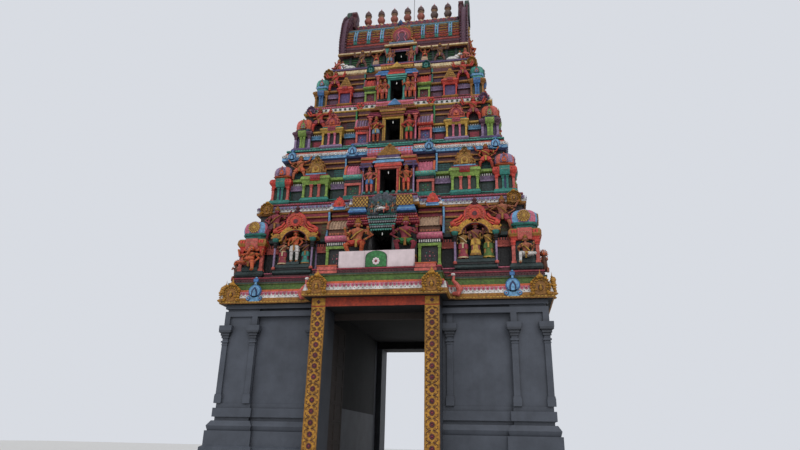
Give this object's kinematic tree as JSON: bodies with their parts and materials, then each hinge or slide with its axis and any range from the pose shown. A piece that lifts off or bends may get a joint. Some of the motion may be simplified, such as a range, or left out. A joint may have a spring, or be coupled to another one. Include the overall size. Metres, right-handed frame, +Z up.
{
  "type": "gopuram",
  "caption": "Temple gateway tower: a tall gate passage with a pair of door leaves under painted tiers of shrines, a neck and a barrel roof with finials.",
  "frame": {"origin": "on the ground, in the middle of the gate passage", "axes": "+Z up, the front of the gate faces -Y, +X to the right seen from the front"},
  "size_m": [10.7, 10.2, 21.6],
  "materials": {
    "plinth_paint": "slate blue-grey paint over rendered masonry, matt and dusty",
    "wall_paint": "blue-grey paint over rendered masonry, matt",
    "passage_stone": "plain dressed granite, dusty",
    "post_stone": "granite posts painted ochre gold, satin",
    "lintel_paint": "burnt orange paint, satin",
    "door_timber": "dark weathered timber with iron studs",
    "board_paint": "green painted board",
    "cornice_paint": "painted plaster bands in several colours, satin",
    "tier_1_paint": "multicoloured painted plaster, satin",
    "tier_2_paint": "multicoloured painted plaster, satin",
    "tier_3_paint": "multicoloured painted plaster, satin",
    "tier_4_paint": "multicoloured painted plaster, satin",
    "neck_paint": "dark green painted plaster, satin",
    "roof_paint": "maroon painted plaster with coloured strips, satin",
    "gable_paint": "purple painted plaster, satin",
    "finial_copper": "dull copper-coloured metal vessels",
    "rod_steel": "galvanised, dull"
  },
  "bodies": {
    "tower": {"plinth_left": "plinth_paint", "front_wall_left": "wall_paint", "back_wall_left": "wall_paint", "side_wall_left": "wall_paint", "passage_wall_left": "passage_stone", "front_gate_post_left": "post_stone", "back_gate_post_left": "post_stone", "pivot_stone_left": "passage_stone", "gable_left": "gable_paint", "plinth_right": "plinth_paint", "front_wall_right": "wall_paint", "back_wall_right": "wall_paint", "side_wall_right": "wall_paint", "passage_wall_right": "passage_stone", "front_gate_post_right": "post_stone", "back_gate_post_right": "post_stone", "pivot_stone_right": "passage_stone", "gable_right": "gable_paint", "front_gate_lintel": "lintel_paint", "back_gate_lintel": "lintel_paint", "door_head_beam": "door_timber", "base_cornice": "cornice_paint", "name_board": "board_paint", "tier_1_front_wall": "tier_1_paint", "tier_1_back_wall": "tier_1_paint", "tier_1_left_wall": "tier_1_paint", "tier_1_right_wall": "tier_1_paint", "tier_1_cornice": "cornice_paint", "tier_2_front_wall": "tier_2_paint", "tier_2_back_wall": "tier_2_paint", "tier_2_left_wall": "tier_2_paint", "tier_2_right_wall": "tier_2_paint", "tier_2_cornice": "cornice_paint", "tier_3_front_wall": "tier_3_paint", "tier_3_back_wall": "tier_3_paint", "tier_3_left_wall": "tier_3_paint", "tier_3_right_wall": "tier_3_paint", "tier_3_cornice": "cornice_paint", "tier_4_front_wall": "tier_4_paint", "tier_4_back_wall": "tier_4_paint", "tier_4_left_wall": "tier_4_paint", "tier_4_right_wall": "tier_4_paint", "tier_4_cornice": "cornice_paint", "neck_walls": "neck_paint", "roof_eave": "cornice_paint", "barrel_roof": "roof_paint", "finial_1": "finial_copper", "finial_2": "finial_copper", "finial_3": "finial_copper", "finial_4": "finial_copper", "finial_5": "finial_copper", "finial_6": "finial_copper", "finial_7": "finial_copper", "lightning_rod": "rod_steel"},
    "leaf_left": {"door_leaf_left": "door_timber"},
    "leaf_right": {"door_leaf_right": "door_timber"}
  },
  "joints": [
    {"name": "door_left_swing", "type": "hinge", "parent": "tower", "child": "leaf_left", "pos_m": [-1.645, -3.715, 0.1], "axis": [0, 0, -1], "range_deg": [0, 90]},
    {"name": "door_right_swing", "type": "hinge", "parent": "tower", "child": "leaf_right", "pos_m": [1.645, -3.715, 0.1], "axis": [0, 0, 1], "range_deg": [0, 90]}
  ]
}
